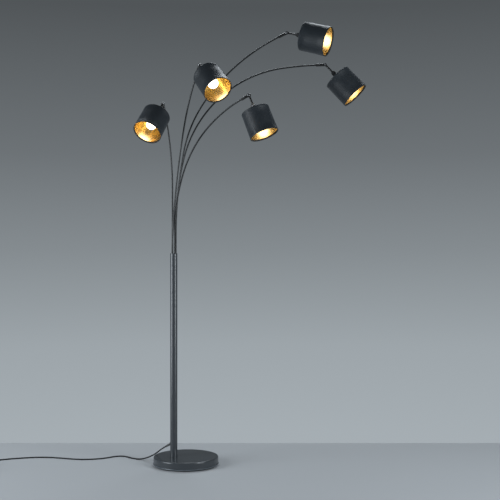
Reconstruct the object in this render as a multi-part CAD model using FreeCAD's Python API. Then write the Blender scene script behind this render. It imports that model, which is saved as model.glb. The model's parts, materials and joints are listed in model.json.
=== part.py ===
import FreeCAD
import Part
import math
import os

# Tree floor lamp: a weighted round base, a post, and five bent arms that fan
# out of the head of the post. Each arm carries a tilting drum shade.
# Millimetres, +Z up. The origin is the centre of the base, on the floor.
# The photographed front faces -Y.

V = FreeCAD.Vector
UP = V(0, 0, 1)

# base
pad_r = 138.0
pad_h = 5.0
plate_r = 145.0
plate_h = 4.0
plate_edge = 1.5
weight_h = 12.5
cover_r = 143.2
cover_edge = 5.0
groove_r = 141.0
groove_h = 2.2
sheet = 1.2
base_h = 38.0
screw_circle_r = 110.0
screw_r = 2.0

# post, which stands off the centre of the base
post_x = -54.0
post_r = 16.0
post_wall = 1.5
post_top = 932.0
cap_h = 3.0
bolt_r = 5.0
plug_h = 30.0
bush_r = 20.0

# head of the post: five bores on a ring, one for each arm
bore_ring_r = 9.5
arm_r = 3.5
arm_wall = 0.9
running_gap = 0.05
head_depth = 60.0
arm_flange_r = 4.3
arm_flange_h = 3.0
retainer_h = 4.0
body_gap = 0.3

# joint between arm and shade
sleeve_reach = 46.0
sleeve_r = 6.2
sleeve_length = 40.0
sleeve_grip = 22.0
slot_depth = 10.5
cheek_outer = 5.5
tongue_half = 2.7
pivot_r = 2.0
screw_head_r = 3.6
screw_head_h = 1.6
link_length = 52.0
link_r = 4.0
neck_flat_end = 11.5
knuckle_r = 9.0
knuckle_eye_half = 3.0
knuckle_outer = 6.3
knuckle_slot = 10.0
neck_length = 22.0
flange_r = 16.0
flange_h = 3.0
nipple_r = 5.0
nipple_h = 8.0

# shade, lampholder and bulb
shade_top_r = 60.0
shade_rim_r = 62.0
shade_length = 114.0
shade_wall = 1.2
rim_wall = 2.2
rim_h = 4.0
shoulder_r = 20.0
shoulder_h = 2.5
holder_r = 14.0
holder_end = 38.0
socket_r = 7.2
socket_floor = 11.0
cap_r = 6.9
globe_r = 22.5
globe_centre = 62.0
glass_wall = 1.2

# mains cord, foot switch and plug
cord_r = 3.0
gland_azimuth = 160.0
gland_drop = 30.0
gland_z = 90.5
gland_collar = 2.0
gland_taper = 24.0
cord_lift = 4.0
coil_pitch = 6.6
coil_start_r = 40.0
coil_inner_r = 23.5
coil_restart_r = 30.1
coil_x = -861.0
coil_y = -140.0
switch_x = coil_x - coil_start_r
switch_y0 = -20.0
switch_y1 = -104.0
switch_axis_z = 7.0
switch_half_width = 20.0
switch_h = 22.0
button_r = 12.0
button_rise = 4.0
button_travel = 3.0
button_skirt = 8.0
button_stop_gap = 0.4
plug_axis_z = 6.9
plug_gap = 90.0
plug_length = 36.0
plug_half_width = 17.6
pin_r = 2.0
pin_length = 19.0
pin_spread = 9.3

# Each lamp: azimuth of its arm, angle of its bore on the ring, straight rise
# above the post, bends as (radius, turn) from the bottom, and the tilt of the
# shade from the arm's end direction. Angles in degrees.
lamps = {
    "left": {
        "azimuth": -117.0, "bore": 134.0, "rise": 277.0, "tilt": 116.2,
        "bends": ((976.0, 12.41), (756.0, 9.91)),
    },
    "middle": {
        "azimuth": -54.0, "bore": -132.0, "rise": 5.0, "tilt": 99.8,
        "bends": ((1047.0, 7.21), (2307.0, 10.55), (887.0, 14.95)),
    },
    "high": {
        "azimuth": -20.0, "bore": -6.0, "rise": 73.0, "tilt": 37.7,
        "bends": ((1873.0, 11.47), (526.0, 25.94), (806.0, 30.61)),
    },
    "far": {
        "azimuth": -12.0, "bore": 72.0, "rise": 68.0, "tilt": 46.7,
        "bends": ((1466.0, 13.76), (509.0, 70.4), (1408.0, 5.77)),
    },
    "low": {
        "azimuth": -30.0, "bore": -64.0, "rise": 91.0, "tilt": 89.8,
        "bends": ((756.0, 20.31), (495.0, 28.17), (576.0, 18.29)),
    },
}

# The cord's route from the tip of its strain relief to the foot switch.
cord_route = (
    (-109.8, 20.3, 65.5),
    (-130.5, 35.5, 46.0),
    (-152.2, 50.0, 29.8),
    (-186.0, 70.5, 12.2),
    (-217.0, 90.0, 3.0),
    (-254.0, 112.0, 3.0),
    (-281.0, 145.0, 3.0),
    (-307.0, 157.0, 3.0),
    (-334.0, 151.0, 3.0),
    (-355.0, 131.0, 3.0),
    (-384.0, 108.0, 3.0),
    (-424.0, 92.0, 3.0),
    (-470.0, 86.0, 3.0),
    (-518.0, 94.0, 3.0),
    (-566.0, 111.0, 3.0),
    (-615.0, 126.0, 3.0),
    (-664.0, 132.0, 3.0),
    (-713.0, 127.0, 3.0),
    (-761.0, 113.0, 3.0),
    (-807.0, 97.0, 3.0),
    (-848.0, 75.0, 3.2),
    (-880.0, 44.0, 4.2),
    (-900.5, 8.0, 6.6),
)


def save(name, shape):
    shape.exportStep("parts/" + name + ".step")


def post_point(z):
    return V(post_x, 0, z)


def turned(shape, origin, along, hinge):
    # moves a shape whose Z is along and whose Y is the hinge axis
    across = hinge.cross(along)
    turn = FreeCAD.Rotation(across, hinge, along, "ZYX")
    moved = shape.copy()
    moved.Placement = FreeCAD.Placement(origin, turn)
    return moved


def disc(radius, bottom, top, centre=V(0, 0, 0)):
    return Part.makeCylinder(radius, top - bottom, centre + V(0, 0, bottom))


def cross_disc(radius, half, z=0.0):
    # a round plate about the local Y axis
    return Part.makeCylinder(radius, 2 * half, V(0, -half, z), V(0, 1, 0))


def block(half_x, half_y, bottom, top):
    corner = V(-half_x, -half_y, bottom)
    return Part.makeBox(2 * half_x, 2 * half_y, top - bottom, corner)


def revolved(outline):
    # turns an outline of (radius, height) pairs about the local Z axis
    points = [V(r, 0, z) for r, z in outline]
    face = Part.Face(Part.makePolygon(points + points[:1]))
    return face.revolve(V(0, 0, 0), UP, 360)


def circle_wire(centre, axis, radius):
    return Part.Wire(Part.makeCircle(radius, centre, axis))


def pipe(edges, radius):
    # solid round section along tangent lines and arcs
    path = Part.Wire(edges)
    start = edges[0].valueAt(edges[0].FirstParameter)
    axis = edges[0].tangentAt(edges[0].FirstParameter)
    return path.makePipeShell([circle_wire(start, axis, radius)], True, False)


# ---- base -------------------------------------------------------------------

def floor_pad():
    return disc(pad_r, 0, pad_h)


def screw_places():
    return [V(screw_circle_r * math.cos(a), screw_circle_r * math.sin(a), 0)
            for a in (math.radians(90 + 120 * k) for k in range(3))]


def base_screw(place):
    head = Part.makeCone(2 * screw_r, screw_r, 0.8 * plate_h, place + V(0, 0, pad_h))
    shank = disc(screw_r, pad_h, pad_h + 12, place)
    return head.fuse(shank).removeSplitter()


def base_screws():
    return Part.Compound([base_screw(place) for place in screw_places()])


def base_plate():
    plate = disc(plate_r, pad_h, pad_h + plate_h)
    plate = plate.makeFillet(plate_edge, round_edges(plate, plate_r))
    for place in screw_places():
        plate = plate.cut(base_screw(place))
    return plate


def round_edges(shape, radius):
    return [e for e in shape.Edges
            if isinstance(e.Curve, Part.Circle) and abs(e.Curve.Radius - radius) < 1e-6]


def counterweight():
    low = pad_h + plate_h
    weight = disc(pad_r, low, low + weight_h)
    weight = weight.makeChamfer(1.5, round_edges(weight, pad_r))
    weight = weight.cut(disc(2.6 * bolt_r, low, low + 7.5, V(post_x, 0, 0)))
    weight = weight.cut(disc(bolt_r + 0.5, low, low + weight_h, V(post_x, 0, 0)))
    for place in screw_places():
        weight = weight.cut(disc(screw_r, low, pad_h + 12.5, place))
    return weight


def domed_disc(radius, bottom, top, edge):
    # a disc with a rounded upper edge
    body = disc(radius, bottom, top)
    rim = [e for e in round_edges(body, radius) if e.Vertexes[0].Z > bottom + 1]
    return body.makeFillet(edge, rim)


def base_cover():
    # pressed sheet, drawn in above the plate so that a groove shows there
    low = pad_h + plate_h
    step = low + groove_h
    outer = domed_disc(cover_r, step, base_h, cover_edge).fuse(disc(groove_r, low, step))
    inner = domed_disc(cover_r - sheet, step + sheet, base_h - sheet, cover_edge - sheet)
    inner = inner.fuse(disc(groove_r - sheet, low, step + sheet))
    return outer.cut(inner).cut(disc(bolt_r + 0.5, low, base_h, V(post_x, 0, 0)))


def spacer_bush():
    low = pad_h + plate_h + weight_h
    bush = disc(bush_r, low, base_h - sheet, V(post_x, 0, 0))
    return bush.cut(disc(bolt_r + 0.5, low, base_h, V(post_x, 0, 0)))


def foot_bolt():
    low = pad_h + plate_h
    corners = [V(post_x + 9.2 * math.cos(k * math.pi / 3), 9.2 * math.sin(k * math.pi / 3), low + 0.5)
               for k in range(6)]
    head = Part.Face(Part.makePolygon(corners + corners[:1])).extrude(V(0, 0, 5))
    washer = disc(2.4 * bolt_r, low + 5.5, low + 7.5, V(post_x, 0, 0))
    shank = disc(bolt_r, low + 7.5, base_h + plug_h - 8, V(post_x, 0, 0))
    return head.fuse([washer, shank]).removeSplitter()


# ---- post -------------------------------------------------------------------

def gland_direction():
    a = math.radians(gland_azimuth)
    d = math.radians(gland_drop)
    return V(math.cos(a) * math.cos(d), math.sin(a) * math.cos(d), -math.sin(d))


def gland_seat():
    a = math.radians(gland_azimuth)
    return post_point(gland_z) + V(math.cos(a), math.sin(a), 0) * post_r


def cord_start():
    return gland_seat() + gland_direction() * (gland_collar + gland_taper)


def post_tube():
    tube = disc(post_r, base_h, post_top, V(post_x, 0, 0))
    tube = tube.cut(disc(post_r - post_wall, base_h, post_top, V(post_x, 0, 0)))
    hole = Part.makeCylinder(5.0, 12, gland_seat() - gland_direction() * 6, gland_direction())
    return tube.cut(hole)


def foot_plug():
    plug = disc(post_r - post_wall, base_h, base_h + plug_h, V(post_x, 0, 0))
    return plug.cut(disc(bolt_r, base_h, base_h + plug_h - 8, V(post_x, 0, 0)))


def terminal_block():
    low = base_h + plug_h
    body = Part.makeBox(20, 14, 12, V(post_x - 10, -7, low))
    for k in range(3):
        screw_well = Part.makeCylinder(1.8, 5, V(post_x - 6 + 6 * k, 0, low + 7))
        wire_way = Part.makeCylinder(1.5, 14, V(post_x - 6 + 6 * k, -7, low + 4), V(0, 1, 0))
        body = body.cut(screw_well).cut(wire_way)
    return body


def cord_gland():
    seat = gland_seat()
    out = gland_direction()
    inside = Part.makeCylinder(4.95, 8, seat - out * 4, out)
    collar = Part.makeCylinder(6.5, 3 + gland_collar, seat - out * 3, out)
    collar = collar.cut(disc(post_r, gland_z - 30, gland_z + 30, V(post_x, 0, 0)))
    taper = Part.makeCone(5.2, 3.9, gland_taper, seat + out * gland_collar, out)
    return inside.fuse([collar, taper]).removeSplitter()


def bore_place(lamp):
    a = math.radians(lamp["bore"])
    return V(post_x + bore_ring_r * math.cos(a), bore_ring_r * math.sin(a), 0)


def head_insert():
    low = post_top - head_depth
    insert = disc(post_r - post_wall, low, post_top, V(post_x, 0, 0))
    cap = disc(post_r, post_top, post_top + cap_h, V(post_x, 0, 0))
    edge = [e for e in round_edges(cap, post_r) if e.Vertexes[0].Z > post_top + 1]
    insert = insert.fuse(cap.makeFillet(1.2, edge))
    for lamp in lamps.values():
        insert = insert.cut(disc(arm_r + running_gap, low, post_top + cap_h, bore_place(lamp)))
    return insert


def arm_retainer():
    top = post_top - head_depth - arm_flange_h - 2 * body_gap
    plate = disc(post_r - post_wall, top - retainer_h, top, V(post_x, 0, 0))
    for lamp in lamps.values():
        plate = plate.cut(disc(arm_r - arm_wall, top - retainer_h, top, bore_place(lamp)))
    return plate


# ---- arms -------------------------------------------------------------------

def heading(azimuth, angle):
    # unit direction that leans by angle from vertical towards the azimuth
    a = math.radians(azimuth)
    lean = math.radians(angle)
    return V(math.sin(lean) * math.cos(a), math.sin(lean) * math.sin(a), math.cos(lean))


def hinge_axis(lamp):
    a = math.radians(lamp["azimuth"])
    return V(-math.sin(a), math.cos(a), 0)


def arm_path(lamp):
    # edges of the centre line and the lean of its end, from the foot upwards
    low = post_top - head_depth - body_gap - arm_flange_h
    here = bore_place(lamp) + V(0, 0, low)
    there = bore_place(lamp) + V(0, 0, post_top + cap_h + lamp["rise"])
    edges = [Part.makeLine(here, there)]
    here = there
    lean = 0.0
    hinge = hinge_axis(lamp)
    for radius, turn in lamp["bends"]:
        middle, there = bend_points(here, heading(lamp["azimuth"], lean), hinge, radius, turn)
        edges.append(Part.Arc(here, middle, there).toShape())
        here = there
        lean += turn
    edges.append(Part.makeLine(here, here + heading(lamp["azimuth"], lean) * (sleeve_reach - 18)))
    return edges, here, lean


def bend_points(here, ahead, hinge, radius, turn):
    # middle and end of an arc that turns towards the side hinge x ahead
    side = hinge.cross(ahead)
    ends = []
    for part in (0.5 * turn, turn):
        a = math.radians(part)
        ends.append(here + side * (radius * (1 - math.cos(a))) + ahead * (radius * math.sin(a)))
    return ends


def pivot(lamp):
    # centre of the first hinge and the two directions that meet there
    end, lean = arm_path(lamp)[1:]
    along_arm = heading(lamp["azimuth"], lean)
    along_shade = heading(lamp["azimuth"], lean + lamp["tilt"])
    return end + along_arm * sleeve_reach, along_arm, along_shade


def knuckle(lamp):
    centre, along_shade = pivot(lamp)[::2]
    return centre + along_shade * link_length


def arm(lamp):
    edges = arm_path(lamp)[0]
    tube = pipe(edges, arm_r).cut(pipe(edges, arm_r - arm_wall))
    low = post_top - head_depth - body_gap - arm_flange_h
    flange = disc(arm_flange_r, low, low + arm_flange_h, bore_place(lamp))
    flange = flange.cut(disc(arm_r, low, low + arm_flange_h, bore_place(lamp)))
    return tube.fuse(flange)


def sleeve():
    # the arm comes in from -Z, the pivot is the local origin
    barrel = Part.makeCylinder(sleeve_r, sleeve_length, V(0, 0, -sleeve_length))
    entry = round_edges(barrel, sleeve_r)
    barrel = barrel.makeChamfer(0.8, [e for e in entry if e.Vertexes[0].Z < -1])
    barrel = barrel.fuse(cross_disc(sleeve_r, cheek_outer))
    flats = block(sleeve_r, sleeve_r, -2 * slot_depth, sleeve_r)
    flats = flats.cut(block(sleeve_r, cheek_outer, -2 * slot_depth, sleeve_r))
    barrel = barrel.cut(flats)
    barrel = barrel.cut(block(2 * sleeve_r, tongue_half + body_gap, -slot_depth, 2 * sleeve_r))
    barrel = barrel.cut(Part.makeCylinder(arm_r, sleeve_grip, V(0, 0, -sleeve_length)))
    barrel = barrel.cut(Part.makeCylinder(2.0, sleeve_length, V(0, 0, -sleeve_length)))
    return barrel.cut(cross_disc(pivot_r + running_gap, sleeve_r))


def link():
    # from the first hinge at the local origin up to the knuckle
    eye = cross_disc(sleeve_r - 0.2, tongue_half)
    flat = block(link_r, tongue_half, 0, neck_flat_end)
    rod_end = link_length - neck_flat_end
    rod = Part.makeCylinder(link_r, rod_end - neck_flat_end, V(0, 0, neck_flat_end))
    upper_flat = block(link_r, knuckle_eye_half, rod_end, link_length)
    upper_eye = cross_disc(knuckle_r - 0.5, knuckle_eye_half, link_length)
    body = eye.fuse([flat, rod, upper_flat, upper_eye]).removeSplitter()
    body = body.cut(cross_disc(pivot_r, tongue_half))
    return body.cut(cross_disc(pivot_r, knuckle_eye_half, link_length))


def pivot_screw(z, cheek):
    # a pin with a low round head outside each cheek
    seat = cheek + body_gap
    screw = cross_disc(pivot_r, seat, z)
    for side in (1, -1):
        head = Part.makeCylinder(screw_head_r, screw_head_h, V(0, side * seat, z), V(0, side, 0))
        rim = [e for e in round_edges(head, screw_head_r) if abs(e.Vertexes[0].Y) > seat + 0.1]
        screw = screw.fuse(head.makeFillet(0.7, rim))
    return screw


def pivot_screws():
    return Part.Compound([pivot_screw(0, cheek_outer), pivot_screw(link_length, knuckle_outer)])


def neck():
    # forked knuckle, flange and threaded nipple, from the knuckle's centre
    fork = cross_disc(knuckle_r, knuckle_outer)
    fork = fork.fuse(block(knuckle_r, knuckle_outer, 0, knuckle_slot + 2))
    boss_h = neck_length - flange_h - knuckle_slot
    boss = Part.makeCylinder(knuckle_r, boss_h, V(0, 0, knuckle_slot))
    flange = Part.makeCylinder(flange_r, flange_h, V(0, 0, neck_length - flange_h))
    flange = flange.makeFillet(1.0, round_edges(flange, flange_r))
    nipple = Part.makeCylinder(nipple_r, nipple_h, V(0, 0, neck_length))
    body = fork.fuse([boss, flange, nipple])
    slot_half = knuckle_eye_half + body_gap
    body = body.cut(block(2 * knuckle_r, slot_half, -2 * knuckle_r, knuckle_slot))
    body = body.cut(Part.makeCylinder(2.0, 40, V(0, 0, 0)))
    return body.cut(cross_disc(pivot_r + running_gap, knuckle_outer))


# ---- shade, lampholder and bulb, measured from the shade's closed end --------

def shade():
    rim_z = shade_length
    slope = (shade_rim_r - shade_top_r) / shade_length
    rim_in = shade_rim_r - rim_wall
    outline = (
        (nipple_r + 0.2, 0),
        (shade_top_r - 1.5, 0),
        (shade_top_r - 0.4, 0.5),
        (shade_top_r, 1.6),
        (shade_rim_r, rim_z),
        (rim_in, rim_z),
        (rim_in - slope * rim_h, rim_z - rim_h),
        (shade_rim_r - shade_wall - slope * (rim_h + 1), rim_z - rim_h - 1),
        (shade_top_r - shade_wall, shade_wall),
        (nipple_r + 0.2, shade_wall),
    )
    return revolved(outline)


def lampholder():
    floor = shade_wall + socket_floor
    outline = (
        (nipple_r, shade_wall),
        (shoulder_r, shade_wall),
        (shoulder_r, shade_wall + shoulder_h),
        (holder_r + 1, shade_wall + shoulder_h + 1),
        (holder_r, shade_wall + shoulder_h + 6),
        (holder_r - 0.8, holder_end),
        (socket_r, holder_end),
        (socket_r, floor),
        (0, floor),
        (0, nipple_h),
        (nipple_r, nipple_h),
    )
    return revolved(outline)


def bulb():
    # screw cap and thin round glass, one hollow body open at its foot
    low = shade_wall + socket_floor
    top = holder_end + 2
    meet = 28.0
    a = math.radians(meet)
    inner_r = globe_r - glass_wall
    outer_arc = arc_edge(globe_r, meet)
    inner_arc = arc_edge(inner_r, meet)
    foot_out = V(cap_r, 0, top)
    foot_in = V(cap_r - glass_wall, 0, top)
    low_out = V(cap_r, 0, low)
    low_in = V(0, 0, low)
    floor_top = V(0, 0, low + 2)
    step = V(cap_r - glass_wall, 0, low + 2)
    outer_meet = V(globe_r * math.sin(a), 0, globe_centre - globe_r * math.cos(a))
    inner_meet = V(inner_r * math.sin(a), 0, globe_centre - inner_r * math.cos(a))
    outer_tip = V(0, 0, globe_centre + globe_r)
    inner_tip = V(0, 0, globe_centre + inner_r)
    edges = [
        Part.makeLine(low_in, low_out),
        Part.makeLine(low_out, foot_out),
        Part.makeLine(foot_out, outer_meet),
        outer_arc,
        Part.makeLine(outer_tip, inner_tip),
        inner_arc,
        Part.makeLine(inner_meet, foot_in),
        Part.makeLine(foot_in, step),
        Part.makeLine(step, floor_top),
        Part.makeLine(floor_top, low_in),
    ]
    face = Part.Face(Part.Wire(Part.__sortEdges__(edges)))
    return face.revolve(V(0, 0, 0), UP, 360)


def arc_edge(radius, meet):
    # from where the glass meets its neck round to the tip
    points = []
    for angle in (meet, 0.5 * (meet + 180), 180):
        a = math.radians(angle)
        points.append(V(radius * math.sin(a), 0, globe_centre - radius * math.cos(a)))
    return Part.Arc(*points).toShape()


def build_lamp(name, lamp):
    hinge = hinge_axis(lamp)
    at_pivot, along_arm, along_shade = pivot(lamp)
    at_knuckle = knuckle(lamp)
    at_shade = at_knuckle + along_shade * neck_length
    save("arm_" + name, arm(lamp))
    save("sleeve_" + name, turned(sleeve(), at_pivot, along_arm, hinge))
    save("link_" + name, turned(link(), at_pivot, along_shade, hinge))
    save("pivot_screws_" + name, turned(pivot_screws(), at_pivot, along_shade, hinge))
    save("neck_" + name, turned(neck(), at_knuckle, along_shade, hinge))
    for node, shape in (("lampholder_", lampholder()), ("shade_", shade()), ("bulb_", bulb())):
        save(node + name, turned(shape, at_shade, along_shade, hinge))


# ---- mains cord -------------------------------------------------------------

def rounded_route(points):
    # straight runs joined by tangent arcs as large as the runs allow
    edges = []
    radii = []
    here = points[0]
    for k in range(1, len(points) - 1):
        back = points[k - 1] - points[k]
        ahead = points[k + 1] - points[k]
        half_turn = 0.5 * (math.pi - back.getAngle(ahead))
        cut = 0.45 * min(back.Length, ahead.Length)
        radius = cut / math.tan(half_turn)
        radii.append(radius)
        start = points[k] + back.normalize() * cut
        end = points[k] + ahead.normalize() * cut
        inward = (back + ahead).normalize()
        depth = radius / math.cos(half_turn) - radius
        edges.append(Part.makeLine(here, start))
        edges.append(Part.Arc(start, points[k] + inward * depth, end).toShape())
        here = end
    edges.append(Part.makeLine(here, points[-1]))
    return edges, radii


def report_tube(name, solid, edges):
    length = sum(e.Length for e in edges)
    section = math.pi * cord_r ** 2
    print(name, "length", round(length, 1), "volume / section x length",
          round(solid.Volume / (section * length), 4), "valid", solid.isValid())


def cord():
    points = [cord_start()] + [V(*p) for p in cord_route]
    points.append(V(switch_x, switch_y0, switch_axis_z))
    edges, radii = rounded_route(points)
    solid = pipe(edges, cord_r)
    runs = [(b - a).Length for a, b in zip(points, points[1:])]
    print("cord radii", [round(r) for r in radii])
    print("cord runs", [round(r) for r in runs])
    report_tube("cord", solid, edges)
    return solid


def biarc(p0, t0, p1, t1):
    # two tangent arcs from p0 along t0 to p1 along t1
    chord = p1 - p0
    sum_t = t0 + t1
    a = 2 * (1 - t0.dot(t1))
    b = 2 * chord.dot(sum_t)
    c = -chord.dot(chord)
    reach = (-b + math.sqrt(b * b - 4 * a * c)) / (2 * a)
    knot = (p0 + t0 * reach + p1 - t1 * reach) * 0.5
    return [arc_from(p0, t0, knot), arc_from(p1, t1 * -1, knot, True)]


def arc_from(start, tangent, end, flip=False):
    # the arc that leaves start along tangent and reaches end
    chord = end - start
    normal = chord - tangent * chord.dot(tangent)
    normal.normalize()
    radius = chord.dot(chord) / (2 * chord.dot(normal))
    centre = start + normal * radius
    half = ((start - centre) + (end - centre)).normalize() * radius
    if flip:
        return Part.Arc(end, centre + half, start).toShape()
    return Part.Arc(start, centre + half, end).toShape()


def coil_stations():
    # radius and height at each half turn: in on the floor layer, one half turn
    # up to the second layer, then out again
    low = cord_lift
    high = cord_lift + coil_pitch
    step = 0.5 * coil_pitch
    stations = [(coil_start_r - step * k, low) for k in range(5)]
    stations.append((coil_inner_r, high))
    stations += [(coil_restart_r + step * k, high) for k in range(3)]
    return stations


def coil_edges():
    centre = V(coil_x, coil_y, 0)
    stations = coil_stations()
    places = []
    for k, (radius, z) in enumerate(stations):
        side = -1 if k % 2 == 0 else 1
        places.append((centre + V(side * radius, 0, z), V(0, side, 0)))
    edges = []
    start = V(switch_x, switch_y1, switch_axis_z)
    first = start - V(0, 2 * cord_r, 0)
    edges.append(Part.makeLine(start, first))
    edges += ramp(first, places[0][0])
    for (p0, t0), (p1, t1) in zip(places, places[1:]):
        edges += biarc(p0, t0, p1, t1)
    out = places[-1][0] + V(0, -16, 0)
    edges.append(Part.makeLine(places[-1][0], out))
    last = V(out.x, plug_entry_y() + 2 * cord_r, plug_axis_z)
    edges += ramp(out, last)
    edges.append(Part.makeLine(last, last - V(0, 2 * cord_r, 0)))
    return edges


def ramp(start, end):
    # a gentle drop between two level stretches that run towards -Y
    middle = (start + end) * 0.5
    return [arc_from(start, V(0, -1, 0), middle), arc_from(end, V(0, 1, 0), middle, True)]


def least_self_gap(edges):
    # smallest clear distance between stretches that are not neighbours
    points = []
    travelled = 0.0
    for edge in edges:
        count = max(2, int(edge.Length / 1.5))
        step = edge.Length / count
        first, last = edge.FirstParameter, edge.LastParameter
        for k in range(count):
            points.append((travelled + k * step, edge.valueAt(first + (last - first) * k / count)))
        travelled += edge.Length
    least = 1000.0
    for i, (along, p) in enumerate(points):
        for further, q in points[i + 1:]:
            if further - along > 30:
                least = min(least, p.distanceToPoint(q))
    return least - 2 * cord_r


def cord_coil():
    edges = coil_edges()
    solid = pipe(edges, cord_r)
    print("coil least self gap", round(least_self_gap(edges), 2))
    report_tube("coil", solid, edges)
    return solid


def cord_tie():
    # a flat band round the coil's turns on its far side
    stations = coil_stations()
    outer = 0.5 * (stations[1][0] + stations[2][0]) + cord_r + 0.6
    inner = 0.5 * (stations[5][0] + stations[6][0]) - cord_r - 0.8
    low = 0.1
    high = cord_lift + coil_pitch + cord_r + 1.0
    band = 0.6
    width = 8.0
    loop = Part.makeBox(width, outer - inner + 2 * band, high - low,
                        V(coil_x - 0.5 * width, coil_y + inner - band, low))
    hollow = Part.makeBox(width, outer - inner, high - low - 2 * band,
                          V(coil_x - 0.5 * width, coil_y + inner, low + band))
    return loop.cut(hollow)


# ---- plug and foot switch ---------------------------------------------------

def plug_entry_y():
    return coil_y - plug_gap


def plug_x():
    return coil_x - coil_stations()[-1][0]


def plug_body():
    top = plug_entry_y()
    relief = Part.makeCone(4.4, 5.6, 16, V(plug_x(), top, plug_axis_z), V(0, -1, 0))
    body = Part.makeBox(2 * plug_half_width, plug_length, 2 * plug_axis_z - 0.2,
                        V(plug_x() - plug_half_width, top - 12 - plug_length, 0.1))
    sides = [e for e in body.Edges if abs(e.Vertexes[0].Y - e.Vertexes[-1].Y) > 1]
    body = body.makeFillet(5.0, sides)
    shoulder = [e for e in body.Edges if min(v.Y for v in e.Vertexes) > top - 12.5]
    body = body.makeFillet(3.0, shoulder)
    return body.fuse(relief).removeSplitter()


def plug_pins():
    foot = plug_entry_y() - 12 - plug_length
    pins = []
    for side in (-pin_spread, pin_spread):
        base = V(plug_x() + side, foot, plug_axis_z)
        pin = Part.makeCylinder(pin_r, pin_length, base, V(0, -1, 0))
        tip = [e for e in round_edges(pin, pin_r) if e.Vertexes[0].Y < foot - 1]
        pins.append(pin.makeFillet(1.2, tip))
    return Part.Compound(pins)


def switch_centre():
    return V(switch_x, 0.5 * (switch_y0 + switch_y1), 0)


def switch_housing():
    length = switch_y0 - switch_y1
    body = Part.makeBox(2 * switch_half_width, length, switch_h,
                        V(switch_x - switch_half_width, switch_y1, 0))
    corners = [e for e in body.Edges if abs(e.Vertexes[0].Z - e.Vertexes[-1].Z) > 1]
    body = body.makeFillet(14.0, corners)
    top = [e for e in body.Edges if min(v.Z for v in e.Vertexes) > switch_h - 0.1]
    body = body.makeFillet(4.0, top)
    well_floor = switch_h - button_skirt - button_travel - button_stop_gap
    well = disc(button_r + 0.5, well_floor, switch_h, switch_centre())
    return body.cut(well)


def switch_button():
    button = disc(button_r, switch_h - button_skirt, switch_h + button_rise, switch_centre())
    rim = [e for e in round_edges(button, button_r) if e.Vertexes[0].Z > switch_h]
    return button.makeFillet(1.5, rim)


def main():
    os.makedirs("parts", exist_ok=True)
    pieces = (
        floor_pad, base_plate, base_screws, counterweight, base_cover, spacer_bush, foot_bolt,
        post_tube, foot_plug, terminal_block, cord_gland, head_insert, arm_retainer,
        cord, cord_coil, cord_tie, plug_body, plug_pins, switch_housing, switch_button,
    )
    for make in pieces:
        save(make.__name__, make())
    for name, lamp in lamps.items():
        build_lamp(name, lamp)


main()
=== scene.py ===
import json
import math

import bmesh
import bpy
from mathutils import Matrix, Vector


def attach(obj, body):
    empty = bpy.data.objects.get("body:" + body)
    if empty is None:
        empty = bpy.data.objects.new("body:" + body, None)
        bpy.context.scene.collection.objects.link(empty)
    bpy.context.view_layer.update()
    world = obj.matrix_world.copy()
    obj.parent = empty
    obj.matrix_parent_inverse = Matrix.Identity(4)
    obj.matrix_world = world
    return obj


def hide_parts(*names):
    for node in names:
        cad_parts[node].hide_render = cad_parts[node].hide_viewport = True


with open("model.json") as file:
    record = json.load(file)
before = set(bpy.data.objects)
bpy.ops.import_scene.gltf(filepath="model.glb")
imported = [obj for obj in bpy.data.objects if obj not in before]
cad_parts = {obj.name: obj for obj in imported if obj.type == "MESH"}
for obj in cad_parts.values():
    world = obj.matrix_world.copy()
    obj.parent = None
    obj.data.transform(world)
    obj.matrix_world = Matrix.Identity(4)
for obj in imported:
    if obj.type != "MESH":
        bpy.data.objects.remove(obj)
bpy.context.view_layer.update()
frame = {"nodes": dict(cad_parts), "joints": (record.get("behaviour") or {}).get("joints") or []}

mm = 0.001
lampNames = ("left", "middle", "high", "far", "low")
joints = {joint["name"]: joint for joint in frame["joints"]}


view = {
    "eye": (0.2835, -4.15, 0.95),
    "focalPixels": 937.0,
    "imagePixels": 500.0,
    "sensor": 36.0,
}


def makeCamera():
    data = bpy.data.cameras.new("camera")
    data.sensor_width = view["sensor"]
    data.lens = view["sensor"] * view["focalPixels"] / view["imagePixels"]
    data.clip_end = 60
    camera = bpy.data.objects.new("camera", data)
    camera.location = view["eye"]
    camera.rotation_euler = (math.radians(90), 0, 0)
    bpy.context.scene.collection.objects.link(camera)
    bpy.context.scene.camera = camera


class Value:
    # a node socket that arithmetic can be done on

    def __init__(self, shader, socket):
        self.shader = shader
        self.socket = socket

    def __add__(self, other):
        return self.shader.calculate("ADD", self, other)

    def __radd__(self, other):
        return self.shader.calculate("ADD", other, self)

    def __mul__(self, other):
        return self.shader.calculate("MULTIPLY", self, other)

    def __rmul__(self, other):
        return self.shader.calculate("MULTIPLY", other, self)

    def sine(self):
        return self.shader.calculate("SINE", self, 0.0)

    def between(self, low, high):
        # 0 below low, 1 above high, smooth in between
        node = self.shader.node("ShaderNodeMapRange")
        node.interpolation_type = "SMOOTHSTEP"
        self.shader.feed(node.inputs["Value"], self)
        node.inputs["From Min"].default_value = low
        node.inputs["From Max"].default_value = high
        return Value(self.shader, node.outputs["Result"])


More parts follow.
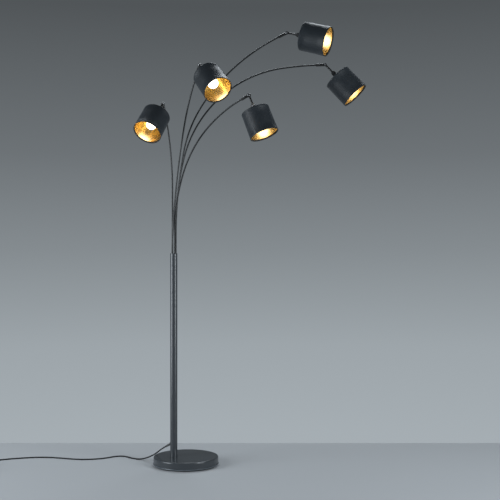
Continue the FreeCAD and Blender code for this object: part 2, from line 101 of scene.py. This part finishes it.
class Shader:
    # a material under construction

    def __init__(self, name):
        self.material = bpy.data.materials.new(name)
        self.material.use_nodes = True
        self.tree = self.material.node_tree
        self.surface = self.tree.nodes["Principled BSDF"]

    def node(self, kind):
        return self.tree.nodes.new(kind)

    def feed(self, socket, value):
        if isinstance(value, Value):
            self.tree.links.new(value.socket, socket)
        else:
            socket.default_value = value

    def calculate(self, operation, first, second):
        node = self.node("ShaderNodeMath")
        node.operation = operation
        self.feed(node.inputs[0], first)
        self.feed(node.inputs[1], second)
        return Value(self, node.outputs[0])

    def place(self):
        return Value(self, self.node("ShaderNodeTexCoord").outputs["Object"])

    def flat(self):
        return Value(self, self.node("ShaderNodeUVMap").outputs["UV"])

    def axes(self, vector):
        node = self.node("ShaderNodeSeparateXYZ")
        self.feed(node.inputs[0], vector)
        return [Value(self, output) for output in node.outputs]

    def joined(self, x, y, z):
        node = self.node("ShaderNodeCombineXYZ")
        for socket, value in zip(node.inputs, (x, y, z)):
            self.feed(socket, value)
        return Value(self, node.outputs[0])

    def noise(self, vector, scale, detail=3.0, rough=0.5):
        node = self.node("ShaderNodeTexNoise")
        self.feed(node.inputs["Vector"], vector)
        node.inputs["Scale"].default_value = scale
        node.inputs["Detail"].default_value = detail
        node.inputs["Roughness"].default_value = rough
        return Value(self, node.outputs[0])

    def cells(self, vector, scale):
        node = self.node("ShaderNodeTexVoronoi")
        self.feed(node.inputs["Vector"], vector)
        node.inputs["Scale"].default_value = scale
        return Value(self, node.outputs["Distance"])

    def blend(self, factor, first, second):
        node = self.node("ShaderNodeMix")
        node.data_type = "RGBA"
        self.feed(node.inputs["Factor"], factor)
        self.feed(node.inputs["A"], first)
        self.feed(node.inputs["B"], second)
        return Value(self, node.outputs["Result"])

    def bump(self, height, distance, strength=1.0):
        node = self.node("ShaderNodeBump")
        node.inputs["Strength"].default_value = strength
        node.inputs["Distance"].default_value = distance
        self.feed(node.inputs["Height"], height)
        self.set(Normal=Value(self, node.outputs[0]))

    def set(self, **inputs):
        for name, value in inputs.items():
            self.feed(self.surface.inputs[name.replace("_", " ")], value)


def grey(level, warmth=0.0):
    return (level * (1 + warmth), level, level * (1 - warmth), 1)


def powderCoat(name, level, roughness, grain):
    # fine-structure black powder coat with small bright and dull specks
    shader = Shader(name)
    place = shader.place()
    fine = shader.noise(place, 1 / grain, 4, 0.65)
    broad = shader.noise(place, 14, 3)
    tone = fine.between(0.35, 0.75) * 0.55 + broad * 0.25
    shader.set(Base_Color=shader.blend(tone, grey(level * 0.75, -0.12), grey(level * 1.5, -0.12)))
    shader.set(Roughness=fine * 0.14 + broad * 0.08 + (roughness - 0.11))
    shader.bump(fine, 0.1 * mm, 0.5)
    return shader.material


def glossPaint(name, level, roughness):
    # smooth black paint with a little orange peel
    shader = Shader(name)
    place = shader.place()
    peel = shader.noise(place, 420, 2)
    dust = shader.noise(place, 60, 4)
    shader.set(Base_Color=shader.blend(dust, grey(level * 0.8), grey(level * 1.3)))
    shader.set(Roughness=dust * 0.1 + (roughness - 0.05))
    shader.surface.inputs["Coat Weight"].default_value = 0.12
    shader.surface.inputs["Coat Roughness"].default_value = 0.12
    shader.bump(peel, 0.06 * mm, 0.4)
    return shader.material


def bareMetal(name, colour, roughness, scratch=900):
    shader = Shader(name)
    x, y, z = shader.axes(shader.place())
    streak = shader.noise(shader.joined(x * 0.15, y, z), scratch, 3)
    patch = shader.noise(shader.place(), 90, 3)
    darker = tuple(0.8 * c for c in colour[:3]) + (1,)
    shader.set(Base_Color=shader.blend(patch, darker, colour), Metallic=1.0)
    shader.set(Roughness=streak * 0.14 + patch * 0.08 + (roughness - 0.1))
    shader.bump(streak, 0.03 * mm, 0.3)
    return shader.material


def moulded(name, colour, roughness, grain=900):
    # injection-moulded plastic with a fine spark-eroded grain
    shader = Shader(name)
    place = shader.place()
    fine = shader.noise(place, grain, 2)
    broad = shader.noise(place, 40, 3)
    darker = tuple(0.82 * c for c in colour[:3]) + (1,)
    shader.set(Base_Color=shader.blend(broad, darker, colour))
    shader.set(Roughness=fine * 0.12 + broad * 0.08 + (roughness - 0.1))
    shader.bump(fine, 0.05 * mm, 0.5)
    return shader.material


def shadeCloth():
    # black linen-like cloth laminated on the drum, plain weave with slubs
    shader = Shader("shadeCloth")
    u, v = shader.axes(shader.flat())[:2]
    thread = 2 * math.pi / (0.62 * mm)
    drift = shader.noise(shader.joined(u * 60, v * 60, 0.0), 1.0, 2) * 1.6
    warp = (u * thread + drift).sine()
    weft = (v * thread + drift).sine()
    weave = warp * weft * 0.5 + 0.5
    slubAlong = shader.noise(shader.joined(u * 900, v * 45, 0.0), 1.0, 3)
    slubAcross = shader.noise(shader.joined(u * 45, v * 900, 3.0), 1.0, 3)
    slub = (slubAlong + slubAcross).between(0.86, 1.2)
    broad = shader.noise(shader.joined(u * 22, v * 22, 7.0), 1.0, 4)
    tone = weave * 0.35 + slub * 0.45 + broad * 0.2
    shader.set(Base_Color=shader.blend(tone, grey(0.011, -0.2), grey(0.026, -0.2)))
    shader.set(Roughness=weave * 0.1 + broad * 0.12 + 0.38)
    shader.surface.inputs["Specular IOR Level"].default_value = 0.25
    shader.surface.inputs["Sheen Weight"].default_value = 0.06
    shader.surface.inputs["Sheen Roughness"].default_value = 0.4
    shader.surface.inputs["Sheen Tint"].default_value = (0.62, 0.66, 0.74, 1)
    shader.bump(weave * 0.7 + slub * 0.5, 0.12 * mm, 0.8)
    return shader.material


def goldFoil(name, light, dark, roughness):
    # metallised gold film, rolled on with faint creases along the drum
    shader = Shader(name)
    u, v = shader.axes(shader.flat())[:2]
    crease = shader.noise(shader.joined(u * 260, v * 9, 0.0), 1.0, 4, 0.6)
    ripple = shader.noise(shader.joined(u * 34, v * 6, 5.0), 1.0, 2)
    speck = shader.noise(shader.joined(u * 700, v * 700, 2.0), 1.0, 2)
    tone = crease * 0.3 + ripple * 0.7
    shader.set(Base_Color=shader.blend(tone, dark, light), Metallic=1.0)
    shader.set(Roughness=crease * 0.1 + speck * 0.04 + (roughness - 0.07))
    shader.bump(crease * 0.15 + ripple * 1.5 + speck * 0.03, 0.3 * mm, 0.15)
    return shader.material


def opalGlass():
    # lit opal globe, dim by its collar and brightest round its tip
    shader = Shader("opalGlass")
    cloud = shader.noise(shader.place(), 45, 2)
    along = shader.axes(shader.flat())[1]
    lit = along.between(bulb["litFrom"], bulb["litTo"]) * 0.9 + cloud * 0.1
    shader.set(Base_Color=shader.blend(cloud, (0.93, 0.9, 0.82, 1), (0.97, 0.95, 0.9, 1)))
    shader.set(Roughness=cloud * 0.08 + 0.24)
    shader.set(Emission_Color=shader.blend(lit, (0.16, 0.12, 0.08, 1), (1.0, 0.89, 0.7, 1)))
    shader.surface.inputs["Emission Strength"].default_value = bulb["glow"]
    return shader.material


def cordSheath():
    shader = Shader("cordSheath")
    place = shader.place()
    fine = shader.noise(place, 700, 2)
    broad = shader.noise(place, 30, 3)
    shader.set(Base_Color=shader.blend(broad, grey(0.003), grey(0.008)))
    shader.set(Roughness=fine * 0.1 + broad * 0.15 + 0.42)
    shader.surface.inputs["Specular IOR Level"].default_value = 0.25
    shader.bump(fine, 0.04 * mm, 0.4)
    return shader.material


def ironCasting():
    shader = Shader("ironCasting")
    place = shader.place()
    pits = shader.cells(place, 380)
    rust = shader.noise(place, 35, 5)
    shader.set(Base_Color=shader.blend(rust.between(0.5, 0.8), grey(0.05), (0.13, 0.07, 0.04, 1)))
    shader.set(Roughness=rust * 0.2 + 0.6, Metallic=0.6)
    shader.bump(pits, 0.4 * mm, 0.7)
    return shader.material


def floorPaint():
    shader = Shader("floorPaint")
    broad = shader.noise(shader.place(), 0.7, 2)
    shader.set(Base_Color=shader.blend(broad, grey(0.35, -0.03), grey(0.39, -0.03)))
    shader.set(Roughness=broad * 0.1 + 0.85)
    return shader.material


def arcPoints(centre, radius, start, end, count):
    # points of an arc in a (radius, height) outline, angles in degrees
    points = []
    for k in range(count + 1):
        a = math.radians(start + (end - start) * k / count)
        points.append((centre[0] + radius * math.cos(a), centre[1] + radius * math.sin(a)))
    return points


def addPiece(name, mesh, material, body, replaces=()):
    piece = bpy.data.objects.new(name, mesh)
    bpy.context.scene.collection.objects.link(piece)
    mesh.materials.append(material)
    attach(piece, body)
    if replaces:
        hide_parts(*replaces)


def turnedMesh(name, outline, steps, placement, span=(0.0, 360.0), closed=True):
    # spins a (radius, height) outline about the local Z axis, with a UV map in
    # metres of girth and of outline length
    mesh = bpy.data.meshes.new(name)
    build = bmesh.new()
    uv = build.loops.layers.uv.new("flat")
    along = build.verts.layers.float.new("along")
    start, end = (math.radians(angle) for angle in span)
    travelled = 0.0
    chain = []
    for r, z in outline + outline[:1] if closed else outline:
        vert = build.verts.new((r * math.cos(start), r * math.sin(start), z))
        if chain:
            travelled += (vert.co - chain[-1].co).length
            build.edges.new((chain[-1], vert))
        vert[along] = travelled
        chain.append(vert)
    bmesh.ops.spin(build, geom=build.verts[:] + build.edges[:], cent=(0, 0, 0), axis=(0, 0, 1),
                   angle=end - start, steps=steps, use_merge=span[1] - span[0] >= 360)
    widest = max(r for r, z in outline)
    stepAngle = (end - start) / steps
    for face in build.faces:
        face.smooth = True
        centre = face.calc_center_median()
        middle = (math.atan2(centre.y, centre.x) - start) % (2 * math.pi)
        column = math.floor(middle / stepAngle)
        for loop in face.loops:
            place = loop.vert.co
            turn = math.remainder(math.atan2(place.y, place.x) - start - middle, 2 * math.pi)
            side = 0 if turn < 0 else 1
            loop[uv].uv = ((column + side) * stepAngle * widest, loop.vert[along])
    bmesh.ops.remove_doubles(build, verts=build.verts, dist=1e-7)
    bmesh.ops.holes_fill(build, edges=[edge for edge in build.edges if edge.is_boundary])
    bmesh.ops.recalc_face_normals(build, faces=build.faces)
    build.verts.layers.float.remove(along)
    build.transform(placement)
    build.to_mesh(mesh)
    build.free()
    return mesh


def cornered(mesh, angle=30):
    # keeps edges sharper than the angle crisp under smooth shading
    build = bmesh.new()
    build.from_mesh(mesh)
    for edge in build.edges:
        if len(edge.link_faces) == 2 and edge.calc_face_angle(0) > math.radians(angle):
            edge.smooth = False
    build.to_mesh(mesh)
    build.free()
    return mesh


lampShape = {
    "neckLength": 22 * mm,
    "topRadius": 60 * mm,
    "rimRadius": 62 * mm,
    "length": 114 * mm,
}


def lampPlace(name):
    # matrix of a shade: origin at its closed end, Z along it, Y its hinge axis
    tilt = Vector(joints["tilt_" + name]["pos_m"])
    knuckle = Vector(joints["knuckle_" + name]["pos_m"])
    hinge = Vector(joints["knuckle_" + name]["axis"]).normalized()
    along = (knuckle - tilt).normalized()
    across = hinge.cross(along)
    origin = knuckle + along * lampShape["neckLength"]
    turn = Matrix((across, hinge, along)).transposed().to_4x4()
    return Matrix.Translation(origin) @ turn


def wallRadius(depth):
    share = depth / lampShape["length"]
    return lampShape["topRadius"] + (lampShape["rimRadius"] - lampShape["topRadius"]) * share


cloth = {
    "thickness": 0.45 * mm,
    "topHem": 7.0 * mm,
    "rimHem": 7.5 * mm,
    "hemRise": 0.35 * mm,
    "hemSlope": 0.5 * mm,
    "hemEnd": (0.25 * mm, -0.1 * mm),
    "hemEndSlope": 0.4 * mm,
    "edgeRadius": 1.1 * mm,
    "rimWidth": 2.4 * mm,
    "insideSlope": 0.6 * mm,
    "insideCorner": 1.0 * mm,
    "insideEnd": (1.5 * mm, 0.3 * mm),
    "steps": 112,
}


def clothOutline():
    # the cloth folds over the top edge, runs down the wall and turns in at the rim
    length = lampShape["length"]
    rise = cloth["hemRise"]
    top = wallRadius(0)
    rim = wallRadius(length)
    skin = cloth["thickness"]
    edge = cloth["edgeRadius"]
    hem = cloth["topHem"]
    slope = cloth["hemSlope"]
    lip = 0.5 * cloth["rimWidth"]
    turnIn = length - cloth["rimHem"]
    endIn, endDepth = cloth["insideEnd"]
    outline = [(top - hem, height) for height in cloth["hemEnd"]]
    outline += [(top - hem + cloth["hemEndSlope"], -rise)]
    outline += arcPoints((top + rise - edge, edge - rise), edge, -90, 0, 5)
    outline += [(wallRadius(hem) + rise, hem), (wallRadius(hem), hem + slope)]
    outline += [(wallRadius(length * share), length * share) for share in (0.3, 0.5, 0.7)]
    outline += [(wallRadius(turnIn), turnIn - slope), (wallRadius(turnIn) + rise, turnIn)]
    outline += arcPoints((rim + rise - lip, length - lip), lip, 0, 180, 10)
    outline += [(rim + rise - 2 * lip, turnIn)]
    outline += [(wallRadius(turnIn) - skin, turnIn - cloth["insideSlope"])]
    outline += [(wallRadius(length * 0.5) - skin, length * 0.5), (top - skin, cloth["insideCorner"])]
    return outline + [(top - endIn, endDepth)]


lining = {
    "gap": 0.1 * mm,
    "film": 0.35 * mm,
    "start": 1.6 * mm,
    "tuck": 0.5 * mm,
}


def wallRing(low, high, first, second):
    # closed thin ring along the wall, with its two skins at these steps outwards from it
    return [(wallRadius(low) + first, low), (wallRadius(high) + first, high),
            (wallRadius(high) + second, high), (wallRadius(low) + second, low)]


def liningOutline():
    # gold film of the wall, just inside the cloth and tucked under its hem
    skin = cloth["thickness"] + lining["gap"]
    high = lampShape["length"] - cloth["rimHem"] + lining["tuck"]
    return wallRing(lining["start"], high, -skin, -skin - lining["film"])


lidShapes = {
    # a stiff disc under the folded hem, and the gold film on the inside of it; that film is coloured a
    # darker, browner gold than the wall's film, as painted shade
    "shadeLid": {"finish": "lid", "hole": 5.2 * mm, "inset": 1.6 * mm, "heights": (0.05 * mm, 0.65 * mm)},
    "shadeInnerLid": {
        "finish": "shadedLidFoil", "hole": 20.2 * mm, "inset": 1.0 * mm, "heights": (0.75 * mm, 1.25 * mm),
    },
}


def lidOutline(lid):
    outer = lampShape["topRadius"] - lid["inset"]
    low, high = lid["heights"]
    return [(lid["hole"], low), (outer, low), (outer, high), (lid["hole"], high)]


seam = {
    "width": 8 * mm,
    "rise": 0.4 * mm,
    "sunk": 0.1 * mm,
    "insideGap": 0.4 * mm,
    "start": 7.6 * mm,
    "end": 5.6 * mm,
    "steps": 6,
    "insideShift": 4,
    "angle": {"left": 60.0, "middle": 70.0, "high": 95.0, "far": 80.0, "low": -83.0},
}


def seamOutline(inside):
    low, high = seam["start"], lampShape["length"] - seam["end"]
    if inside:
        skin = cloth["thickness"] + seam["insideGap"]
        return wallRing(low, high, -skin, -skin - seam["rise"])
    return wallRing(low, high, -seam["sunk"], seam["rise"])


def seamSpan(name, shift):
    width = math.degrees(seam["width"] / lampShape["rimRadius"])
    middle = seam["angle"][name] + shift
    return (middle - 0.5 * width, middle + 0.5 * width)


def makeShade(name, finishes):
    place = lampPlace(name)
    body = "head_" + name
    skin = turnedMesh("shadeCloth_" + name, clothOutline(), cloth["steps"], place)
    addPiece("shadeCloth_" + name, skin, finishes["cloth"], body, ("shade_" + name,))
    film = cornered(turnedMesh("shadeLining_" + name, liningOutline(), cloth["steps"], place))
    addPiece("shadeLining_" + name, film, finishes["foil"], body)
    for piece, lid in lidShapes.items():
        disc = cornered(turnedMesh(piece + "_" + name, lidOutline(lid), cloth["steps"], place))
        addPiece(piece + "_" + name, disc, finishes[lid["finish"]], body)
    for piece, finish, inside in (("shadeSeam", "cloth", False), ("liningSeam", "foil", True)):
        span = seamSpan(name, seam["insideShift"] if inside else 0)
        strip = turnedMesh(piece + "_" + name, seamOutline(inside), seam["steps"], place, span)
        addPiece(piece + "_" + name, cornered(strip), finishes[finish], body)


bulb = {
    "globeRadius": 22.5 * mm,
    "globeCentre": 62 * mm,
    "innerDepth": 46 * mm,
    "neckInset": (0.3 * mm, 1.5 * mm),
    "collarLow": 38.4 * mm,
    "collarRadius": 11.4 * mm,
    "capRings": ((6.6 * mm, 0.0), (7.6 * mm, 0.5 * mm), (9.0 * mm, 1.4 * mm)),
    "neckRings": ((-0.8 * mm, -1.4 * mm), (0.25 * mm, -0.2 * mm), (0.1 * mm, 0.6 * mm)),
    "glow": 3.8,
    "litFrom": 18 * mm,
    "litTo": 46 * mm,
    "steps": 64,
}


def globeOutline():
    neck = math.degrees(math.acos(bulb["collarRadius"] / bulb["globeRadius"]))
    inner = bulb["collarRadius"] - sum(bulb["neckInset"])
    outline = [(0.0, bulb["innerDepth"]), (inner, bulb["innerDepth"])]
    return outline + arcPoints((0.0, bulb["globeCentre"]), bulb["globeRadius"], -neck, 90, 28)


def collarOutline():
    # white plastic collar between the screw cap and the glass
    low = bulb["collarLow"]
    collar = bulb["collarRadius"]
    neck = bulb["globeCentre"] - math.sqrt(bulb["globeRadius"] ** 2 - collar ** 2)
    outline = [(0.0, low)]
    outline += [(radius, low + height) for radius, height in bulb["capRings"]]
    outline += [(collar + wider, neck + higher) for wider, higher in bulb["neckRings"]]
    return outline + [(0.0, outline[-1][1])]


def makeBulb(name, finishes):
    place = lampPlace(name)
    body = "head_" + name
    globe = turnedMesh("bulbGlobe_" + name, globeOutline(), bulb["steps"], place, closed=False)
    addPiece("bulbGlobe_" + name, globe, finishes["opal"], body, ("bulb_" + name,))
    collar = cornered(turnedMesh("bulbCollar_" + name, collarOutline(), bulb["steps"], place, closed=False))
    addPiece("bulbCollar_" + name, collar, finishes["white"], body)


cord = {
    "radius": 3 * mm,
    "start": (-90.23, 13.18, 77.5),
    "route": (
        (-109.8, 20.3, 65.5), (-130.5, 35.5, 46.0), (-152.2, 50.0, 29.8), (-186.0, 70.5, 12.2),
        (-217.0, 90.0, 3.0), (-254.0, 112.0, 3.0), (-281.0, 145.0, 3.0), (-307.0, 157.0, 3.0),
        (-334.0, 151.0, 3.0), (-355.0, 131.0, 3.0), (-384.0, 108.0, 3.0), (-424.0, 92.0, 3.0),
        (-470.0, 86.0, 3.0), (-518.0, 94.0, 3.0), (-566.0, 111.0, 3.0), (-615.0, 126.0, 3.0),
        (-664.0, 132.0, 3.0), (-713.0, 127.0, 3.0), (-761.0, 113.0, 3.0), (-807.0, 97.0, 3.0),
        (-848.0, 75.0, 3.2), (-880.0, 44.0, 4.2), (-900.5, 8.0, 6.6),
    ),
    "switchEnds": ((-901.0, -20.0, 7.0), (-901.0, -104.0, 7.0)),
    "coilCentre": (-861.0, -140.0),
    "coilRadii": (40.0, 23.5, 30.1, 36.7),
    "coilPitch": 6.6,
    "coilLift": 4.0,
    "coilEntry": (16.0, 1.0),  # (y, z) steps from the coil's own places
    "coilExit": ((-8.0, 0.0), (-34.0, -1.2)),
    "plugEntry": -230.0,
    "plugAxis": 6.9,
    "plugLead": ((26.0, 0.4), (-4.0, 0.0)),
    "perTurn": 16,
}


def coilStations():
    # radius and height at each half turn, as the solid has them
    outer, inner, restart = cord["coilRadii"][:3]
    low = cord["coilLift"]
    high = low + cord["coilPitch"]
    step = 0.5 * cord["coilPitch"]
    stations = [(outer - step * k, low) for k in range(5)]
    stations.append((inner, high))
    return stations + [(restart + step * k, high) for k in range(3)]


def coilPoints():
    # control points of the turns, a little outside the line they draw
    stations = coilStations()
    perHalf = cord["perTurn"] // 2
    lift = 2 / (1 + math.cos(math.pi / cord["perTurn"]))
    points = []
    for k in range(1, perHalf * (len(stations) - 1)):
        half, part = divmod(k, perHalf)
        share = part / perHalf
        smooth = share * share * (3 - 2 * share) if stations[half][1] != stations[half + 1][1] else share
        radius = stations[half][0] + (stations[half + 1][0] - stations[half][0]) * share
        height = stations[half][1] + (stations[half + 1][1] - stations[half][1]) * smooth
        a = math.pi + math.pi * k / perHalf
        x, y = cord["coilCentre"]
        points.append((x + radius * lift * math.cos(a), y + radius * lift * math.sin(a), height))
    return points


def cordPoints():
    centreX, centreY = cord["coilCentre"]
    firstRadius = coilStations()[0][0]
    lastRadius, high = coilStations()[-1]
    entryY, entryZ = cord["coilEntry"]
    exitX = centreX - lastRadius
    points = [cord["start"], *cord["route"], *cord["switchEnds"]]
    points += [(centreX - firstRadius, centreY + entryY, cord["coilLift"] + entryZ)]
    points += coilPoints()
    points += [(exitX, centreY + y, high + z) for y, z in cord["coilExit"]]
    points += [(exitX, cord["plugEntry"] + y, cord["plugAxis"] + z) for y, z in cord["plugLead"]]
    return [Vector(p) * mm for p in points]


def makeCord(finishes):
    data = bpy.data.curves.new("mainsCord", "CURVE")
    data.dimensions = "3D"
    data.bevel_depth = cord["radius"]
    data.bevel_resolution = 5
    data.resolution_u = 6
    data.use_fill_caps = True
    points = cordPoints()
    spline = data.splines.new("NURBS")
    spline.points.add(len(points) - 1)
    for point, place in zip(spline.points, points):
        point.co = (*place, 1)
    spline.order_u = 3
    spline.use_endpoint_u = True
    piece = bpy.data.objects.new("mainsCord", data)
    bpy.context.scene.collection.objects.link(piece)
    data.materials.append(finishes["sheath"])
    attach(piece, "stand")
    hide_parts("cord", "cord_coil")


plugGrip = {
    "x": -897.7,
    "halfWidth": 17.6,
    "rise": 0.8,
    "firstY": -252.0,
    "spacing": 4.0,
    "count": 5,
    "thickness": 1.6,
    "heights": (4.2, 9.6),
    "bevel": 0.35,
}


def makePlugGrips(finishes):
    # short raised bars on both flanks of the plug, where fingers pull it
    mesh = bpy.data.meshes.new("plugGrips")
    build = bmesh.new()
    low, high = plugGrip["heights"]
    size = (2 * plugGrip["rise"], plugGrip["thickness"], high - low)
    for side in (-1, 1):
        for k in range(plugGrip["count"]):
            centre = (
                plugGrip["x"] + side * plugGrip["halfWidth"],
                plugGrip["firstY"] - k * plugGrip["spacing"],
                0.5 * (low + high),
            )
            place = Matrix.Translation(Vector(centre) * mm) @ Matrix.Diagonal((*(v * mm for v in size), 1))
            bar = bmesh.ops.create_cube(build, size=1, matrix=place)
            edges = {edge for vert in bar["verts"] for edge in vert.link_edges}
            bmesh.ops.bevel(build, geom=list(edges), offset=plugGrip["bevel"] * mm,
                            segments=2, affect="EDGES")
    build.to_mesh(mesh)
    build.free()
    addPiece("plugGrips", mesh, finishes["grommet"], "stand")


def dressNodes(finishes):
    plain = {
        "base_cover": "base", "base_plate": "lip", "post_tube": "post", "head_insert": "post",
        "floor_pad": "pad", "counterweight": "iron", "base_screws": "zinc", "spacer_bush": "zinc",
        "foot_bolt": "zinc", "foot_plug": "zinc", "arm_retainer": "zinc", "terminal_block": "ivory",
        "cord_gland": "grommet", "cord_tie": "grommet", "plug_body": "grommet", "plug_pins": "nickel",
        "switch_housing": "switch", "switch_button": "button",
    }
    perLamp = {
        "arm_": "arm", "sleeve_": "gloss", "link_": "gloss", "pivot_screws_": "chrome",
        "neck_": "arm", "lampholder_": "white", "shade_": "cloth", "bulb_": "opal",
    }
    for name in lampNames:
        plain.update({node + name: finish for node, finish in perLamp.items()})
    for node, finish in plain.items():
        data = frame["nodes"][node].data
        data.materials.clear()
        data.materials.append(finishes[finish])
        for face in data.polygons:
            face.material_index = 0
    for name in lampNames:
        darkenKnuckle(name, finishes["shadedNickel"])


def darkenKnuckle(name, finish):
    # the screw nearer the shade gets a dark copy of the screw metal as painted shade, so it shows no
    # reflection of the lit shades; the one at the arm's end stays bright
    piece = frame["nodes"]["pivot_screws_" + name]
    piece.data.materials.append(finish)
    bright = Vector(joints["tilt_" + name]["pos_m"])
    dark = Vector(joints["knuckle_" + name]["pos_m"])
    for face in piece.data.polygons:
        place = piece.matrix_world @ face.center
        if (place - dark).length < (place - bright).length:
            face.material_index = 1


studio = {
    "floor": {"x": (-3.6, 3.6), "y": (-5.2, 0.46)},
    "lights": (
        {
            "name": "leftPanel", "at": (-2.9, -1.3, 1.2), "aim": (0.1, 0, 1.0),
            "size": (1.7, 2.4), "power": 115,
        },
        {
            "name": "rightPanel", "at": (2.7, -1.9, 1.3), "aim": (0.2, 0, 1.1),
            "size": (1.1, 2.4), "power": 85,
        },
        {
            "name": "topLight", "at": (0.3, 2.4, 3.9), "aim": (0.2, 0, 0),
            "size": (2.6, 1.6), "power": 95,
        },
    ),
    "lightColour": (0.87, 0.94, 1.0),
    "backdropTint": (0.9, 1.0, 1.07),
    "backdrop": ((-0.19, 0.42), (-0.1, 0.375), (0.0, 0.26), (0.1, 0.17), (0.25, 0.092)),
}


def makeFloor(finishes):
    mesh = bpy.data.meshes.new("floor")
    build = bmesh.new()
    (x0, x1), (y0, y1) = studio["floor"]["x"], studio["floor"]["y"]
    build.faces.new([build.verts.new(p) for p in ((x0, y0, 0), (x1, y0, 0), (x1, y1, 0), (x0, y1, 0))])
    build.to_mesh(mesh)
    build.free()
    floor = bpy.data.objects.new("floor", mesh)
    bpy.context.scene.collection.objects.link(floor)
    mesh.materials.append(finishes["floor"])


def makeLights():
    for light in studio["lights"]:
        data = bpy.data.lights.new(light["name"], "AREA")
        data.shape = "RECTANGLE"
        data.size, data.size_y = light["size"]
        data.energy = light["power"]
        data.color = studio["lightColour"]
        lamp = bpy.data.objects.new(light["name"], data)
        lamp.location = light["at"]
        aim = Vector(light["aim"]) - Vector(light["at"])
        lamp.rotation_euler = aim.to_track_quat("-Z", "Y").to_euler()
        bpy.context.scene.collection.objects.link(lamp)


def makeWorld():
    # pale behind the lamp's foot, fading to dark slate above its head
    world = bpy.data.worlds.new("studio")
    world.use_nodes = True
    tree = world.node_tree
    background = tree.nodes["Background"]
    ramp = tree.nodes.new("ShaderNodeValToRGB")
    split = tree.nodes.new("ShaderNodeSeparateXYZ")
    where = tree.nodes.new("ShaderNodeTexCoord")
    shift = tree.nodes.new("ShaderNodeMath")
    shift.inputs[1].default_value = 0.5
    tree.links.new(where.outputs["Generated"], split.inputs[0])
    tree.links.new(split.outputs["Z"], shift.inputs[0])
    tree.links.new(shift.outputs[0], ramp.inputs["Fac"])
    tree.links.new(ramp.outputs["Color"], background.inputs["Color"])
    stops = ramp.color_ramp.elements
    while len(stops) < len(studio["backdrop"]):
        stops.new(0.5)
    for stop, (height, level) in zip(stops, studio["backdrop"]):
        stop.position = height + 0.5
        stop.color = (*(level * tint for tint in studio["backdropTint"]), 1)
    bpy.context.scene.world = world
    bpy.context.scene.view_settings.view_transform = "Standard"


def makeFinishes():
    return {
        "base": powderCoat("baseCoat", 0.042, 0.22, 0.9 * mm),
        # the base plate's lip takes a lighter copy of the base's powder coat: a painted highlight along its
        # edge
        "lip": powderCoat("lipHighlightCoat", 0.12, 0.24, 0.9 * mm),
        "post": powderCoat("postCoat", 0.04, 0.25, 0.7 * mm),
        "arm": powderCoat("armCoat", 0.005, 0.42, 0.6 * mm),
        "gloss": glossPaint("glossBlack", 0.006, 0.36),
        "chrome": bareMetal("screwChrome", (0.82, 0.83, 0.85, 1), 0.16),
        # dark copy of the screw metal, used as painted shade on the knuckle screws
        "shadedNickel": bareMetal("shadedNickel", (0.12, 0.12, 0.13, 1), 0.34),
        "zinc": bareMetal("zincSteel", (0.55, 0.56, 0.58, 1), 0.38),
        "nickel": bareMetal("pinNickel", (0.72, 0.7, 0.66, 1), 0.25),
        "iron": ironCasting(),
        # black foam pad: its own black, darkened further as painted shade in the gap under the base
        "pad": moulded("padFoam", (0.008, 0.008, 0.009, 1), 0.9, 500),
        "white": moulded("whitePlastic", (0.78, 0.76, 0.70, 1), 0.4),
        "ivory": moulded("ivoryPlastic", (0.72, 0.68, 0.56, 1), 0.45),
        "grommet": moulded("softBlack", (0.022, 0.022, 0.023, 1), 0.5),
        "switch": moulded("switchShell", (0.02, 0.02, 0.021, 1), 0.36),
        "button": moulded("switchCap", (0.035, 0.035, 0.037, 1), 0.3),
        "sheath": cordSheath(),
        "cloth": shadeCloth(),
        "lid": moulded("lidCard", (0.02, 0.02, 0.021, 1), 0.6),
        "foil": goldFoil("goldFoil", (1.0, 0.85, 0.52, 1), (0.98, 0.79, 0.43, 1), 0.26),
        # the same gold film as the wall's, coloured darker and browner as painted shade on the inside of
        # the lid
        "shadedLidFoil": goldFoil("shadedLidFoil", (0.95, 0.72, 0.34, 1), (0.84, 0.58, 0.22, 1), 0.32),
        "opal": opalGlass(),
        "floor": floorPaint(),
    }


def main():
    makeCamera()
    print("stage: camera")
    finishes = makeFinishes()
    print("stage: materials")
    dressNodes(finishes)
    print("stage: carried-over nodes")
    makeCord(finishes)
    makePlugGrips(finishes)
    print("stage: cord and plug")
    for name in lampNames:
        makeShade(name, finishes)
        makeBulb(name, finishes)
    print("stage: shades and bulbs")
    makeFloor(finishes)
    makeLights()
    makeWorld()
    print("stage: light and floor")
    bpy.context.view_layer.update()


main()
